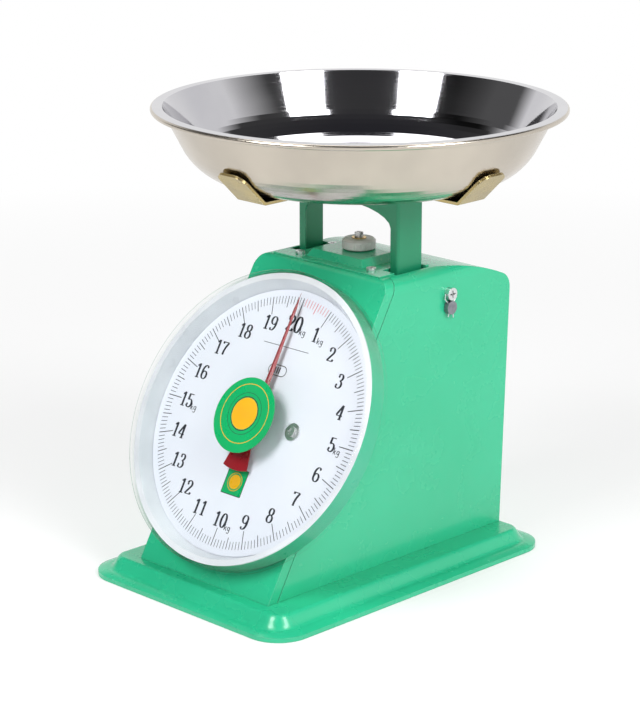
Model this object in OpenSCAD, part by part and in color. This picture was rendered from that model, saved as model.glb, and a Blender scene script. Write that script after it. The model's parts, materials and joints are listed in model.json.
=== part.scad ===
// Counter-top dial spring scale: a sloping-front sheet housing on a pressed foot, a large round dial,
// and a pan carried by a sprung frame that drives the pointer through a rack and pinion.
// Origin: on the ground, under the middle of the whole scale from the foot's front to the pan's back.
// +Z up, the dial faces -Y, +X is the reader's right.

/* [Foot] */
// Width of the foot
base_w = 190; // [180:1:200]
// Depth of the foot
base_l = 266; // [262:1:280]
// Height of the flat top that the housing stands on
base_top = 13; // [12:1:14]

/* [Housing] */
// Width of the housing
body_w = 124; // [122:1:130]
// Height of the housing's flat top
top_z = 208; // [207:1:210]
// Distance from the foot's middle forward to the bottom of the sloping front
slope_start = 110; // [108:1:112]
// Lean of the dial face from upright, degrees
tilt = 30; // [29:1:31]

/* [Dial] */
// Outside diameter of the lens
lens_d = 206; // [200:1:208]
// Distance from the foot up the slope to the dial's centre
dial_up = 112; // [110:1:114]

/* [Load frame and pan] */
// Distance from the foot's middle back to the pan's centre
pan_back = 37.5; // [37:0.5:38]
// Outside distance between the two uprights
frame_w = 94; // [93:1:95]
// Height of the frame that the pan's spider sits on
frame_top = 262; // [260:1:266]
// Outside diameter of the pan's lip
pan_d = 280; // [270:1:290]
// Depth of the pan
pan_h = 49.4; // [48:0.2:52]

/* [Movement] */
// Gear module of the pinion and rack
gear_m = 0.4; // [0.4:0.1:0.4]
// Teeth on the pinion
pinion_teeth = 16; // [16:1:16]

/* [Hidden] */

$fn = 64;
sheet = 1.2;          // housing sheet
seam_depth = 7;       // how far the front panel's flange turns back
seam_gap = 0.6;       // gap between the flange and the cover
fit = 0.05;           // radial running clearance of a shaft in its hole
loose = 0.25;         // radial clearance of a screw in a plain hole
far = 400;            // longer than any side, for cutting blocks

green = "mediumseagreen";
steel = "silver";
zinc = "darkkhaki";
white = "ghostwhite";
brass = "goldenrod";
red = "firebrick";

// Places along Y
foot_y = (base_l / 2 - pan_back - pan_d / 2) / 2;
front_y = foot_y - slope_start;
load_y = foot_y + pan_back;

// Directions on the dial face
rise = cos(tilt);
lean = sin(tilt);
dial_c = [0, front_y + dial_up * lean, base_top + dial_up * rise];

// Housing side outline
nose_r = 5;           // bend between the slope and the top
crown_y = foot_y + 48; // where the top starts to fall
crown_r = 170;        // radius of the falling part of the top
crown_a = 23.5;       // how far it falls, degrees
heel_r = 12;          // bend between the top and the back
rear_lean = 2;        // the back leans out by this, degrees
shoulder_r = 10;      // rounding of the top's long edges
heel_c = [
    crown_y + (crown_r - heel_r) * sin(crown_a),
    top_z - crown_r + (crown_r - heel_r) * cos(crown_a)
];

// Heights above the housing's sloping face, along its normal
panel_in = -sheet;
dish_back = 3.3;
plate_lv = 4.35;
plate_t = 0.8;
lip_lv = 14.6;
lens_rear = 2;
lens_front = 18.6;
lens_crown = 1;
needle_lv = 9.6;
rack_lv = -18.5;      // middle of the rack and the pinion
rear_wall_lv = -26.5;
plate_r = lens_d / 2 - 10.4;

// Gearing
pitch_r = gear_m * pinion_teeth / 2;
pressure = 20;
backlash = 0.06;
turn_travel = 2 * PI * pitch_r;
rack_travel = turn_travel;
load_travel = rack_travel * rise;

// Load frame
up_depth = 23;        // depth of an upright
up_front = load_y - up_depth / 2;
up_flange = 7;        // width of its front flange
frame_low = 100;
yoke_hook_z = 132.2;
yoke_t = 4;
hanger_hook_z = 189;
hook_r = 7;
hook_hole_r = 3.4;
spring_x = 24;
spring_wire = 2.6;
spring_d = 22.6;
spring_turns = 8;

// Levers
lever_len = 66;
lever_a = asin(load_travel / 2 / lever_len);
lever_x = 49;
lever_t = 1.5;
shaft_y = load_y + lever_len * cos(lever_a);
shaft_r = 3;
stud_r = 2.5;
upper_stud_z = 178.8;
lower_stud_z = 118.8;
upper_shaft_z = upper_stud_z - load_travel / 2;
lower_shaft_z = lower_stud_z - load_travel / 2;

// Chassis
chassis_x = 57;       // outside half width
chassis_t = 1.5;
chassis_floor = 2;
buffer_top = frame_low - load_travel - 1.1;

// Top plate and knob
top_plate_t = 1;
pad_h = 5;
knob_z = top_z + top_plate_t + pad_h + 0.6;
knob_h = 7;
knob_r = 11.5;
stud_thread_r = 3;
window = [52, 34];    // opening in the cover under the plate
window_y = foot_y + 31;
slot_x = [38.6, 52];  // openings for the uprights, wider than they are
slot_y = [foot_y + 19.5, foot_y + 50];

// Pan
arm_sheet = 2;        // thickness of the spider's arms
pan_floor = frame_top + arm_sheet + 0.02;
pan_rim = pan_floor + pan_h;
pan_t = 1;

// ---------- shared helpers ----------

// Points of an arc in degrees, from a0 to a1
function arc(c, r, a0, a1, n) = [
    for (i = [0:n]) c + r * [cos(a0 + (a1 - a0) * i / n), sin(a0 + (a1 - a0) * i / n)]
];

// Children drawn flat land on the dial face: x to the right, y up the slope, z out of the face
module on_dial() {
    translate(dial_c) rotate([90 - tilt, 0, 0]) children();
}

// A bar along X from x0 to x1 at height z and depth y
module bar_x(r, x0, x1, y, z) {
    translate([x0, y, z]) rotate([0, 90, 0]) cylinder(r = r, h = x1 - x0);
}

// A pan-head screw with a cross recess, head on z = 0 pointing up, shank down
module screw(head_r, head_h, shank_r, len) {
    difference() {
        union() {
            cylinder(r = head_r, h = head_h);
            translate([0, 0, -len]) cylinder(r = shank_r, h = len + 0.1);
        }
        for (a = [0, 90]) rotate([0, 0, a])
            translate([-head_r * 0.6, -head_r * 0.12, head_h * 0.5])
                cube([head_r * 1.2, head_r * 0.24, head_h]);
    }
}

// ---------- housing ----------

// Side outline (y, z), drawn g inside the outer skin and down to z0
function side_outline(g, z0) = concat(
    [[front_y + g / rise + (z0 - base_top) * tan(tilt), z0]],
    arc([front_y + (top_z - nose_r - base_top) * tan(tilt) + nose_r / rise, top_z - nose_r],
        nose_r - g, 180 - tilt, 90, 6),
    arc([crown_y, top_z - crown_r], crown_r - g, 90, 90 - crown_a, 8),
    arc(heel_c, heel_r - g, 90 - crown_a, -rear_lean, 8),
    [[heel_c[0] + (heel_r - g) / cos(rear_lean) - (heel_c[1] - z0) * tan(rear_lean), z0]]
);

// Front outline (x, z), drawn g inside the outer skin
function front_outline(g, z0) = concat(
    [[body_w / 2 - g, z0]],
    arc([body_w / 2 - shoulder_r, top_z - shoulder_r], shoulder_r - g, 0, 90, 8),
    arc([shoulder_r - body_w / 2, top_z - shoulder_r], shoulder_r - g, 90, 180, 8),
    [[g - body_w / 2, z0]]
);

module body_solid(g, z0) {
    intersection() {
        translate([-body_w / 2, 0, 0]) rotate([90, 0, 90])
            linear_extrude(body_w) polygon(side_outline(g, z0));
        translate([0, far / 2, 0]) rotate([90, 0, 0])
            linear_extrude(far) polygon(front_outline(g, z0));
    }
}

module body_shell() {
    difference() {
        body_solid(0, base_top);
        body_solid(sheet, base_top - 10);
    }
}

// Everything in front of a plane parallel to the sloping face
module ahead_of(level) {
    on_dial() translate([-far / 2, -far / 2, level]) cube([far, far, far]);
}

dial_screw_x = 33;
movement_pitch = 14;
seal_pos = [foot_y + 60, 190];    // y, z of the sealed screw on each side of the cover
rear_screw_x = 30;
rear_screw_z = 40;

// Children drawn upright point straight out of the leaning back, at each rear screw's place
module at_rear_screws() {
    rear_y = heel_c[0] + heel_r / cos(rear_lean) - (heel_c[1] - rear_screw_z) * tan(rear_lean);
    for (x = [-rear_screw_x, rear_screw_x]) translate([x, rear_y + 0.02, rear_screw_z])
        rotate([-90 - rear_lean, 0, 0]) children();
}

module front_panel() {
    color(green) difference() {
        intersection() {
            body_shell();
            ahead_of(-seam_depth);
        }
        on_dial() {
            translate([0, 0, -5]) cylinder(r = 6, h = 10);
            for (x = [-dial_screw_x, dial_screw_x])
                translate([x, 0, -5]) cylinder(r = 2 + fit, h = 10);
            for (x = [-movement_pitch, movement_pitch], y = [-movement_pitch, movement_pitch])
                translate([x, y, -5]) cylinder(r = 1.5 + loose, h = 10);
        }
    }
}

module body_cover() {
    color(green) difference() {
        body_shell();
        ahead_of(-seam_depth - seam_gap);
        // slots for the uprights
        for (x = [slot_x[0], -slot_x[1]]) translate([x, slot_y[0], top_z - 5])
            cube([slot_x[1] - slot_x[0], slot_y[1] - slot_y[0], 10]);
        // window under the raised plate
        translate([0, window_y, top_z]) cube([window[0], window[1], 10], center = true);
        for (p = top_screw_places()) translate([p[0], p[1], top_z - 5])
            cylinder(r = 1.5 + fit, h = 10);
        bar_x(2 + loose, -far, far, seal_pos[0], seal_pos[1]);
        at_rear_screws() translate([0, 0, -20]) cylinder(r = 2 + loose, h = 40);
    }
}

// ---------- foot ----------

foot_corner_r = 24;
foot_run = 16;        // how far the edge profile reaches in
foot_rim_h = 3;
foot_shelf = 8;       // width of the low shelf outside the S-curve
foot_shelf_h = 4.6;

// Upper edge of the foot's profile: height at distance d in from the outside
function foot_edge(d) =
    d < foot_shelf
        ? foot_rim_h + (foot_shelf_h - foot_rim_h) * sin(90 * d / foot_shelf)
        : foot_shelf_h + (base_top - foot_shelf_h) * (1 - cos(180 * (d - foot_shelf) / (foot_run - foot_shelf))) / 2;

// Section of the pressed foot from its edge to a corner's centre, x measured from that centre
module foot_section() {
    steps = 16;
    run = [for (i = [0:steps]) foot_run * i / steps];
    polygon([for (p = concat(
        [for (d = run) [d, foot_edge(d)]],
        [[foot_corner_r, base_top], [foot_corner_r, base_top - sheet]],
        [for (i = [steps:-1:2]) [run[i], foot_edge(run[i]) - sheet]],
        [[sheet, foot_edge(sheet) - sheet], [sheet, 0], [0, 0]]
    )) [foot_corner_r - p[0], p[1]]]);
}

// Four straight edges, four round corners and the flat top between them
module base_pan() {
    cx = base_w / 2 - foot_corner_r;
    cy = base_l / 2 - foot_corner_r;
    color(green) difference() {
        translate([0, foot_y, 0]) {
            for (s = [[1, 1, 0], [-1, 1, 90], [-1, -1, 180], [1, -1, 270]])
                translate([s[0] * cx, s[1] * cy, 0]) rotate([0, 0, s[2]])
                    rotate_extrude(angle = 90) foot_section();
            for (a = [0, 180]) rotate([0, 0, a]) {
                translate([cx, 0, 0]) rotate([90, 0, 0])
                    linear_extrude(2 * cy, center = true) foot_section();
                translate([0, cy, 0]) rotate([90, 0, 90])
                    linear_extrude(2 * cx, center = true) foot_section();
            }
            translate([-cx, -cy, base_top - sheet]) cube([2 * cx, 2 * cy, sheet]);
        }
        for (p = chassis_screw_places()) translate([p[0], p[1], 0])
            cylinder(r = 2 + loose, h = 40);
    }
}

// ---------- chassis ----------

function chassis_screw_places() = [for (x = [-46, 46], y = [-50, 100]) [x, foot_y + y]];

module chassis_frame() {
    side_y0 = foot_y + 18;
    side_y1 = foot_y + 108;
    floor_y0 = foot_y - 60;
    side_top = 194;
    floor_z = base_top;
    shelf_y = [load_y - 9, load_y + 9];
    color("lightgray") difference() {
        union() {
            translate([-chassis_x, floor_y0, floor_z])
                cube([2 * chassis_x, side_y1 - floor_y0, chassis_floor]);
            for (s = [-1, 1]) {
                translate([s > 0 ? chassis_x - chassis_t : -chassis_x, side_y0, floor_z])
                    cube([chassis_t, side_y1 - side_y0, side_top - floor_z]);
                // shelf for the stop buffer
                translate([s > 0 ? 38 : -chassis_x, shelf_y[0], buffer_top - 12])
                    cube([chassis_x - 38, shelf_y[1] - shelf_y[0], 2]);
            }
            // cross tie at the back
            translate([-chassis_x, side_y1 - chassis_t, 60])
                cube([2 * chassis_x, chassis_t, 14]);
            translate([-chassis_x, side_y1 - chassis_t, floor_z])
                cube([2 * chassis_x, chassis_t, 36]);
        }
        for (z = [upper_shaft_z, lower_shaft_z]) bar_x(shaft_r + fit, -far, far, shaft_y, z);
        bar_x(2 + fit, -far, far, seal_pos[0], seal_pos[1]);
        for (p = chassis_screw_places()) translate([p[0], p[1], 0])
            cylinder(r = 2 + fit, h = 40);
        at_rear_screws() translate([0, 0, -20]) cylinder(r = 2 + fit, h = 40);
    }
}

module chassis_screws() {
    color(steel) for (p = chassis_screw_places())
        translate([p[0], p[1], base_top - sheet]) rotate([180, 0, 0]) screw(3.8, 2.2, 2, 6);
}

// One screw on the left side of the cover and two at the back
module cover_screws() {
    color(steel) {
        translate([-body_w / 2, seal_pos[0], seal_pos[1]]) rotate([0, -90, 0])
            screw(4.2, 2.4, 2, 9);
        at_rear_screws() screw(4.2, 2.4, 2, 12);
    }
}

module shaft_clips() {
    color(steel) for (z = [upper_shaft_z, lower_shaft_z], s = [-1, 1])
        translate([s * (chassis_x + 0.7), shaft_y, z]) rotate([0, 90, 0]) difference() {
            cylinder(r = 5, h = 0.8, center = true);
            cylinder(r = shaft_r + 0.02, h = 2, center = true);
            translate([0, -1.6, -1]) cube([8, 3.2, 2]);
        }
}

module lever_shaft(z) {
    color(steel) bar_x(shaft_r, -chassis_x - 2, chassis_x + 2, shaft_y, z);
}

module upper_lever_shaft() { lever_shaft(upper_shaft_z); }
module lower_lever_shaft() { lever_shaft(lower_shaft_z); }

module stop_buffers() {
    color("dimgray") for (s = [-1, 1]) translate([s * 45, load_y, buffer_top - 10])
        cylinder(r = 6, h = 10);
}

// ---------- seal ----------

seal_head_x = body_w / 2;

module seal_screw() {
    color(steel) difference() {
        translate([seal_head_x, seal_pos[0], seal_pos[1]]) rotate([0, 90, 0]) screw(4.3, 4, 2, 9);
        translate([seal_head_x + 2, seal_pos[0], seal_pos[1]]) rotate([90, 0, 0])
            cylinder(r = 0.8, h = 20, center = true);
    }
}

// Wire path (y, z) about the screw: tail, up, through the head, down, tail
function seal_path() = [
    [-2.2, -15.5], [-1.2, -8], [-5.6, -3], [-5.4, 0], [5.4, 0], [5.6, -3], [1.2, -8], [2.8, -17]
];

module seal_wire() {
    wire_r = 0.45;
    p = seal_path();
    color(steel) translate([seal_head_x + 2, seal_pos[0], seal_pos[1]])
        for (i = [0:len(p) - 2]) {
            d = p[i + 1] - p[i];
            translate([0, p[i][0], p[i][1]]) {
                rotate([-atan2(d[0], d[1]), 0, 0]) cylinder(r = wire_r, h = norm(d), $fn = 24);
                sphere(r = wire_r * 1.12, $fn = 24);
            }
        }
}

module seal_slug() {
    color("lightslategray") translate([seal_head_x + 0.3, seal_pos[0], seal_pos[1] - 9.5])
        rotate([0, 90, 0]) cylinder(r = 4.6, h = 3.4);
}

// ---------- top plate, knob and hanger ----------

function top_screw_places() = [for (x = [-33.5, 33.5], y = [14.5, 46]) [x, foot_y + y]];

// Sloping-sided pad: bottom size and top size, both centred on the window
module pad(bottom, top, z, h) {
    translate([0, window_y, z]) intersection() {
        rotate([90, 0, 0]) linear_extrude(far, center = true)
            polygon([[-bottom[0] / 2, 0], [bottom[0] / 2, 0], [top[0] / 2, h], [-top[0] / 2, h]]);
        rotate([90, 0, 90]) linear_extrude(far, center = true)
            polygon([[-bottom[1] / 2, 0], [bottom[1] / 2, 0], [top[1] / 2, h], [-top[1] / 2, h]]);
    }
}

module top_plate() {
    plate_w = 100;
    plate_y0 = foot_y + 5;
    plate_y1 = foot_y + 53;
    t = top_plate_t;
    color(green) difference() {
        union() {
            translate([-plate_w / 2, plate_y0, top_z]) cube([plate_w, plate_y1 - plate_y0, t]);
            pad([54, 37], [46, 29], top_z, pad_h + t);
        }
        pad([52, 35], [44, 27], top_z - 0.01, pad_h);
        // notches round the uprights
        for (x = [slot_x[0], -far / 2]) translate([x, slot_y[0], top_z - 5])
            cube([far / 2 - slot_x[0], slot_y[1] - slot_y[0], 20]);
        for (p = top_screw_places()) translate([p[0], p[1], top_z - 5])
            cylinder(r = 1.5 + loose, h = 10);
        translate([0, load_y, top_z]) cylinder(r = stud_thread_r + loose, h = 20);
    }
}

module top_plate_screws() {
    color(steel) for (p = top_screw_places())
        translate([p[0], p[1], top_z + top_plate_t]) screw(3.3, 1.8, 1.5, 5);
}

module zero_knob() {
    color("gainsboro") translate([0, load_y, knob_z]) difference() {
        rotate_extrude($fn = 96) polygon([
            [5.05, 0], [knob_r - 0.6, 0], [knob_r, 0.6], [knob_r, knob_h - 1.4],
            [knob_r - 1.4, knob_h], [5.05, knob_h]
        ]);
        // finger flutes
        for (a = [0:20:340]) rotate([0, 0, a]) translate([knob_r + 0.75, 0, -1])
            cylinder(r = 1, h = knob_h - 1, $fn = 24);
    }
}

module knob_insert() {
    color(brass) translate([0, load_y, knob_z]) difference() {
        cylinder(r = 5, h = knob_h + 0.5);
        translate([0, 0, -1]) cylinder(r = stud_thread_r + fit, h = knob_h + 3);
    }
}

hanger_z = 195;

module hanger_stud() {
    stud_top = knob_z + knob_h + 4;
    color(steel) translate([0, load_y, 0]) difference() {
        union() {
            translate([0, 0, hanger_z - 3]) cylinder(r = 5, h = 3);
            translate([0, 0, hanger_z - 1]) cylinder(r = stud_thread_r, h = stud_top - hanger_z + 1);
        }
        translate([-5, -0.6, stud_top - 1.6]) cube([10, 1.2, 5]);
    }
}

// Channel plate with an ear at each end for a spring's upper hook
module hanger_bar() {
    ear_w = 14;
    color("lightgray") difference() {
        union() {
            translate([-32, load_y - 6, hanger_z]) cube([64, 12, 3]);
            for (s = [-1, 1]) translate([s * spring_x - ear_w / 2, load_y - 1.5, hanger_z - 12.5])
                cube([ear_w, 3, 13]);
        }
        translate([0, load_y, hanger_z - 5]) cylinder(r = stud_thread_r + fit, h = 20);
        for (s = [-1, 1]) hook_hole(s * spring_x, hanger_hook_z);
    }
}

module hook_hole(x, z) {
    translate([x, load_y, z]) rotate([90, 0, 0]) cylinder(r = hook_hole_r, h = 20, center = true);
}

// ---------- springs ----------

// Centre line of an extension spring: open upper hook, coils, open lower hook
hook_seat = 1.7;      // the wire bears on the edge of its hole, off the hole's centre
upper_loop_z = hanger_hook_z - hook_seat - hook_r;
lower_loop_z = yoke_hook_z + hook_seat + hook_r;
coil_top = upper_loop_z - hook_r;
coil_low = lower_loop_z + hook_r;
coil_r = (spring_d - spring_wire) / 2;
function hook_point(zc, a) = [0, hook_r * cos(a), zc + hook_r * sin(a)];
function coil_point(u) = [
    coil_r * sin(360 * spring_turns * u) * min(1, 8 * u, 8 * (1 - u)),
    coil_r * cos(360 * spring_turns * u) * min(1, 8 * u, 8 * (1 - u)),
    coil_top + (coil_low - coil_top) * u
];
function spring_path() = concat(
    [for (a = [190:-25:-60]) hook_point(upper_loop_z, a)],
    [for (i = [0:16 * spring_turns]) coil_point(i / (16 * spring_turns))],
    [for (a = [60:-25:-190]) hook_point(lower_loop_z, a)]
);

function unit(v) = v / norm(v);

// Ring directions carried along the path without twist
function side_steps(p, t) = [
    for (i = 0, s = unit(cross(t[0], [1, 0, 0])); i < len(p);
         i = i + 1, s = i < len(p) ? unit(s - (s * t[i]) * t[i]) : s) s
];

module wire_sweep(p, r, sides) {
    n = len(p);
    t = [for (i = [0:n - 1]) unit(p[min(i + 1, n - 1)] - p[max(i - 1, 0)])];
    s = side_steps(p, t);
    rings = [for (i = [0:n - 1], j = [0:sides - 1])
        p[i] + r * (cos(360 * j / sides) * s[i] + sin(360 * j / sides) * cross(t[i], s[i]))];
    walls = [for (i = [0:n - 2], j = [0:sides - 1])
        [i * sides + j, i * sides + (j + 1) % sides, (i + 1) * sides + (j + 1) % sides, (i + 1) * sides + j]];
    polyhedron(rings, concat(
        [[for (j = [sides - 1:-1:0]) j]], walls, [[for (j = [0:sides - 1]) (n - 1) * sides + j]]
    ), convexity = 10);
}

module spring_at(x) {
    color("slategray") translate([x, load_y, 0]) wire_sweep(spring_path(), spring_wire / 2, 6);
}

module spring_left() { spring_at(-spring_x); }
module spring_right() { spring_at(spring_x); }

// ---------- load frame ----------

arch_low = 236.5;
arch_rise = 12.5;
frame_t = 1.2;
frame_bend_r = 2.2;

module load_frame() {
    half = frame_w / 2;
    inner = half - up_flange;
    color(green) difference() {
        union() {
            for (s = [-1, 1]) translate([s > 0 ? half - frame_t : -half, up_front, frame_low])
                cube([frame_t, up_depth, frame_top - frame_low]);
            translate([-half, up_front, frame_top - frame_t]) cube([frame_w, up_depth, frame_t]);
            translate([0, up_front + frame_t, 0]) rotate([90, 0, 0]) linear_extrude(frame_t)
                polygon(concat(
                    [[half, frame_low], [half, frame_top], [-half, frame_top], [-half, frame_low],
                     [-inner, frame_low]],
                    [for (a = [180:-15:0]) [inner * cos(a), arch_low + arch_rise * sin(a)]],
                    [[inner, frame_low]]
                ));
        }
        // bends between the flange and the webs
        for (s = [-1, 1]) translate([s * half, up_front, 0]) linear_extrude(far)
            polygon(concat([[s, -1], [-s * frame_bend_r, -1]], arc([-s * frame_bend_r, frame_bend_r],
                frame_bend_r, -90 + s * 4, s > 0 ? -4 : -176, 6), [[s, frame_bend_r]]));
        for (z = [upper_stud_z, lower_stud_z]) bar_x(stud_r + fit, -far, far, load_y, z);
        for (p = spider_screw_places()) translate([p[0], p[1], frame_top - 5])
            cylinder(r = 2 + fit, h = 10);
        for (p = yoke_rivet_places()) bar_x(1.5 + fit, -far, far, p[0], p[1]);
    }
}

function yoke_rivet_places() = [for (y = [load_y - 5, load_y + 5]) [y, yoke_hook_z]];
rack_arm_screw_x = 16;
rack_arm_screw_z = [126, 136];

stud_head_r = 4;
stud_head_h = 0.6;
yoke_z = [lower_stud_z + stud_head_r + 0.7, 140];   // the bar clears the studs' inner heads
yoke_tab_t = 1.8;
yoke_tab_l = 18;

module yoke_bar() {
    in = frame_w / 2 - frame_t;
    color("lightgray") difference() {
        union() {
            translate([-in, load_y - yoke_t / 2, yoke_z[0]])
                cube([2 * in, yoke_t, yoke_z[1] - yoke_z[0]]);
            for (x = [in - yoke_tab_t, -in]) translate([x, load_y - yoke_tab_l / 2, yoke_z[0]])
                cube([yoke_tab_t, yoke_tab_l, yoke_z[1] - yoke_z[0]]);
        }
        for (s = [-1, 1]) hook_hole(s * spring_x, yoke_hook_z);
        for (p = yoke_rivet_places()) bar_x(1.5 + fit, -far, far, p[0], p[1]);
        for (z = rack_arm_screw_z) translate([rack_arm_screw_x, load_y, z]) rotate([90, 0, 0])
            cylinder(r = 1.25 + fit, h = 20, center = true);
    }
}

module yoke_rivets() {
    half = frame_w / 2;
    color(steel) for (p = yoke_rivet_places(), s = [-1, 1]) {
        inner_x = half - frame_t - yoke_tab_t;
        translate([s * half, p[0], p[1]]) rotate([0, s * 90, 0]) cylinder(r = 2.6, h = 1.2);
        translate([s * (half + 0.1), p[0], p[1]]) rotate([0, -s * 90, 0])
            cylinder(r = 1.5, h = half - inner_x + 0.3);
        translate([s * inner_x, p[0], p[1]]) rotate([0, -s * 90, 0]) cylinder(r = 2.3, h = 0.8);
    }
}

// ---------- rack, arm and guide ----------

pin_t = 52.6;               // pin's distance up the rack from the pinion, at rest
rack_back_x = 8.2;
rack_t = 3;
arm_x = 9;
arm_t = 2;
pin_r = 1.5;
pin_y = dial_c[1] - rack_lv * rise + pin_t * lean;
pin_z = dial_c[2] + rack_lv * lean + pin_t * rise;
slot_run = rack_travel * lean;

// Carries the rack's pin in a level slot, so the pin may slide as the rack runs down the slope
module rack_arm() {
    arm_low = pin_z - 4.6;
    arm_high = pin_z + 4.6;
    arm_tip = pin_y - slot_run - pin_r - 2.4;
    back = load_y - yoke_t / 2;
    color("lightgray") difference() {
        union() {
            translate([arm_x, arm_tip, arm_low]) cube([arm_t, back - arm_tip, arm_high - arm_low]);
            translate([arm_x, back - 10, yoke_z[0]]) cube([arm_t, 10, arm_low - yoke_z[0] + 1]);
            translate([arm_x, back - arm_t, yoke_z[0]]) cube([12, arm_t, yoke_z[1] - yoke_z[0]]);
        }
        for (d = [0, slot_run]) bar_x(pin_r + 0.15, arm_x - 2, arm_x + 6, pin_y - d, pin_z);
        translate([arm_x - 2, pin_y - slot_run, pin_z - pin_r - 0.15])
            cube([arm_t + 4, slot_run, 2 * (pin_r + 0.15)]);
        for (z = rack_arm_screw_z) translate([rack_arm_screw_x, load_y, z]) rotate([90, 0, 0])
            cylinder(r = 1.25 + loose, h = 20);
    }
}

module rack_arm_screws() {
    color(steel) for (z = rack_arm_screw_z)
        translate([rack_arm_screw_x, load_y - yoke_t / 2 - arm_t, z]) rotate([90, 0, 0])
            screw(2.2, 1.4, 1.25, 7);
}

tooth_pitch = PI * gear_m;
rack_teeth = 23;
rack_root_x = pitch_r + 1.25 * gear_m;
rack_tip_x = pitch_r - 0.9 * gear_m;

// Saw-tooth side of the rack: each tooth has straight 20 degree flanks
function rack_tooth(k) = let (
    c = (k + 0.5) * tooth_pitch,
    half = tooth_pitch / 4 - backlash / 4,
    root = half + 1.25 * gear_m * tan(pressure),
    tip = half - 0.9 * gear_m * tan(pressure)
) [[rack_root_x, c - root], [rack_tip_x, c - tip], [rack_tip_x, c + tip], [rack_root_x, c + root]];

module rack() {
    first = -4;
    low = (first - 0.2) * tooth_pitch;
    high = pin_t + 4;
    teeth = [for (k = [first:first + rack_teeth - 1]) each rack_tooth(k)];
    color(steel) on_dial() difference() {
        translate([0, 0, rack_lv - rack_t / 2]) linear_extrude(rack_t)
            polygon(concat([[rack_root_x, low]], teeth,
                [[rack_root_x, high], [rack_back_x, high], [rack_back_x, low]]));
        translate([0, pin_t, rack_lv]) rotate([0, 90, 0])
            cylinder(r = 1.2 + fit, h = 30);
    }
}

module rack_pin() {
    color(steel) on_dial() translate([0, pin_t, rack_lv]) rotate([0, 90, 0]) {
        translate([0, 0, rack_root_x]) cylinder(r = 1.2, h = rack_back_x - rack_root_x + 0.1);
        translate([0, 0, rack_back_x]) cylinder(r = pin_r, h = 5);
        translate([0, 0, rack_back_x + 4]) cylinder(r = 2.6, h = 1);
    }
}

// Nylon block behind the rack that keeps it in mesh
module rack_guide() {
    color("ivory") on_dial() translate([rack_back_x + 0.1, -6, rear_wall_lv + 1.5 + 0.05])
        cube([4, 12, 12]);
}

// ---------- movement ----------

bracket_t = 1.5;

module movement_bracket() {
    half = 19;
    front = panel_in - 0.05;
    rear = rear_wall_lv;
    color("lightgray") on_dial() difference() {
        union() {
            translate([-half, -half, front - bracket_t]) cube([2 * half, 2 * half, bracket_t]);
            translate([-half, -half, rear]) cube([2 * half, 2 * half - 6, bracket_t]);
            translate([-half, -half, rear]) cube([bracket_t, 2 * half - 6, front - rear]);
        }
        translate([0, 0, rear - 5]) cylinder(r = bush_r + 0.02, h = 40);
        for (x = [-movement_pitch, movement_pitch], y = [-movement_pitch, movement_pitch])
            translate([x, y, front - 5]) cylinder(r = 1.5 + fit, h = 10);
    }
}

bush_r = 4;
arbor_r = 1.5;

module bush() {
    difference() {
        union() {
            cylinder(r = bush_r, h = 3);
            cylinder(r = bush_r + 1.6, h = 1);
        }
        translate([0, 0, -1]) cylinder(r = arbor_r + fit, h = 6);
    }
}

module front_bush() {
    color(brass) on_dial() translate([0, 0, panel_in - 0.05 - bracket_t - 1.05]) bush();
}

module rear_bush() {
    color(brass) on_dial() translate([0, 0, rear_wall_lv + bracket_t + 1.05]) rotate([180, 0, 0]) bush();
}

module movement_screws() {
    color(steel) on_dial()
        for (x = [-movement_pitch, movement_pitch], y = [-movement_pitch, movement_pitch])
            translate([x, y, 0]) screw(2.9, 1.8, 1.5, 5);
}

module arbor() {
    color(steel) on_dial() translate([0, 0, rear_wall_lv - 1.5])
        cylinder(r = arbor_r, h = needle_lv - 1.4 - (rear_wall_lv - 1.5));
}

// Points of one involute flank from the base circle to the tip, at tooth angle 0
base_r = pitch_r * cos(pressure);
tip_r = pitch_r + 0.9 * gear_m;
root_r = pitch_r - 1.2 * gear_m;
inv_pressure = tan(pressure) * 180 / PI - pressure;
half_tooth = 90 / pinion_teeth - backlash / 4 / pitch_r * 180 / PI;
function inv_at(r) = let (c = acos(min(1, base_r / r))) tan(c) * 180 / PI - c;
function flank_r(i) = base_r + (tip_r - base_r) * i / 4;
function flank_a(i) = half_tooth + inv_pressure - inv_at(flank_r(i));
function polar(r, a) = [r * cos(a), r * sin(a)];
function pinion_tooth(a) = concat(
    [polar(root_r, a - flank_a(0))],
    [for (i = [0:4]) polar(flank_r(i), a - flank_a(i))],
    [for (i = [4:-1:0]) polar(flank_r(i), a + flank_a(i))],
    [polar(root_r, a + flank_a(0))]
);

module pinion() {
    color(brass) on_dial() translate([0, 0, rack_lv - 2.5]) difference() {
        linear_extrude(5)
            polygon([for (k = [0:pinion_teeth - 1]) each pinion_tooth(k * 360 / pinion_teeth)]);
        translate([0, 0, -1]) cylinder(r = arbor_r + 0.02, h = 10);
    }
}

// ---------- dial ----------

module dial_dish() {
    r = plate_r;
    color(white) on_dial() difference() {
        rotate_extrude($fn = 180) polygon([
            [8, 0.05], [11, 0.05], [11, dish_back], [r + 0.4, dish_back], [r + 5, lip_lv - 1.1],
            [r + 7.7, lip_lv - 1.1], [r + 7.7, lens_rear + 0.2], [r + 8.7, lens_rear + 0.2],
            [r + 8.7, lip_lv], [r + 4.4, lip_lv], [r + 0.4, dish_back + 1], [8, dish_back + 1]
        ]);
        for (x = [-dial_screw_x, dial_screw_x]) translate([x, 0, 0])
            cylinder(r = 2 + loose, h = 10);
    }
}

module dial_plate() {
    color(white) on_dial() difference() {
        translate([0, 0, plate_lv]) cylinder(r = plate_r, h = plate_t, $fn = 180);
        cylinder(r = 4, h = 20);
        for (x = [-dial_screw_x, dial_screw_x]) translate([x, 0, 0])
            cylinder(r = 2 + loose, h = 20);
    }
}

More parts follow.
